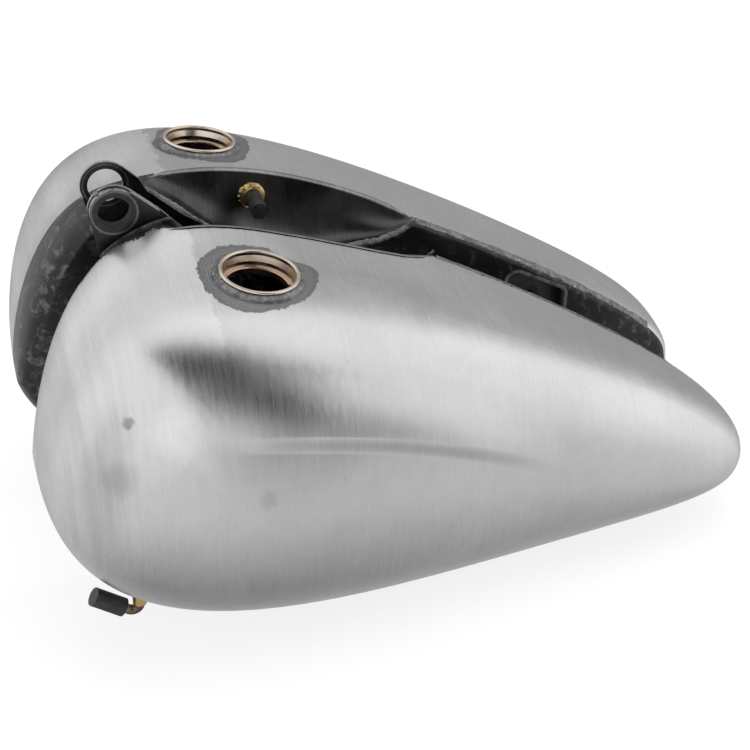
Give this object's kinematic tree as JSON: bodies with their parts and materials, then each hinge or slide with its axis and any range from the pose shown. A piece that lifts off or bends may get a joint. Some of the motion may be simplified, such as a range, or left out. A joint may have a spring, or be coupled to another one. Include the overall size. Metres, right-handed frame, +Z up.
{
  "type": "fuel tank",
  "caption": "Split motorcycle fuel tank: two teardrop tanks of brushed steel with a tunnel between, rolled filler necks, a dished recess, front eyes, capped vents and crossover pipes",
  "frame": {"origin": "on the floor, at the middle of the pair's plan outline", "axes": "+X from the rounded nose to the tail, +Y to the right of the motorcycle, +Z up"},
  "size_m": [0.5806, 0.445, 0.332],
  "materials": {
    "brushed_shell": "satin, brushed by hand in fine lines",
    "dark_steel": "dull mill finish",
    "weld_bead": "rough weld bead, ground flat in places",
    "ground_weld": "ground weld with swirl marks",
    "neck_plating": "satin, warm tint",
    "copper_wash": "thin copper wash",
    "brass": "brazed, satin",
    "black_vinyl": "satin"
  },
  "bodies": {
    "left_tank": {"left_outer_shell": "brushed_shell", "left_inner_shell": "brushed_shell", "left_dash_recess": "dark_steel", "left_top_seam_weld": "weld_bead", "left_bottom_seam_weld": "weld_bead", "left_filler_neck": "neck_plating", "left_cam_ledge": "copper_wash", "left_neck_weld": "ground_weld", "left_vent_fitting": "brass", "left_crossover_pipe": "brass", "left_crossover_braze": "brass", "left_rear_pocket": "dark_steel", "left_rear_boss": "dark_steel", "left_pocket_weld": "weld_bead", "left_mount_bracket": "dark_steel", "left_mount_sleeve": "dark_steel", "left_sleeve_tacks": "weld_bead", "left_mount_weld": "ground_weld", "left_tap_boss": "neck_plating"},
    "right_tank": {"right_outer_shell": "brushed_shell", "right_inner_shell": "brushed_shell", "right_dash_recess": "dark_steel", "right_top_seam_weld": "weld_bead", "right_bottom_seam_weld": "weld_bead", "right_filler_neck": "neck_plating", "right_cam_ledge": "copper_wash", "right_neck_weld": "ground_weld", "right_vent_fitting": "brass", "right_crossover_pipe": "brass", "right_crossover_braze": "brass", "right_rear_pocket": "dark_steel", "right_rear_boss": "dark_steel", "right_pocket_weld": "weld_bead", "right_mount_tab": "dark_steel", "right_mount_weld": "ground_weld"},
    "left_vent_plug": {"left_vent_cap": "black_vinyl"},
    "right_vent_plug": {"right_vent_cap": "black_vinyl"},
    "left_crossover_plug": {"left_crossover_cap": "black_vinyl"},
    "right_crossover_plug": {"right_crossover_cap": "black_vinyl"}
  },
  "joints": [
    {"name": "right_tank_part", "type": "slide", "parent": "left_tank", "child": "right_tank", "axis": [0, 1, 0], "range_m": [0, 0.1]},
    {"name": "left_vent_cap_pull", "type": "slide", "parent": "left_tank", "child": "left_vent_plug", "axis": [0, 1, 0], "range_m": [0, 0.018]},
    {"name": "right_vent_cap_pull", "type": "slide", "parent": "right_tank", "child": "right_vent_plug", "axis": [0, -1, 0], "range_m": [0, 0.018]},
    {"name": "left_crossover_cap_pull", "type": "slide", "parent": "left_tank", "child": "left_crossover_plug", "axis": [-0.8192, 0, 0.5736], "range_m": [0, 0.024]},
    {"name": "right_crossover_cap_pull", "type": "slide", "parent": "right_tank", "child": "right_crossover_plug", "axis": [-0.8192, 0, 0.5736], "range_m": [0, 0.024]}
  ]
}
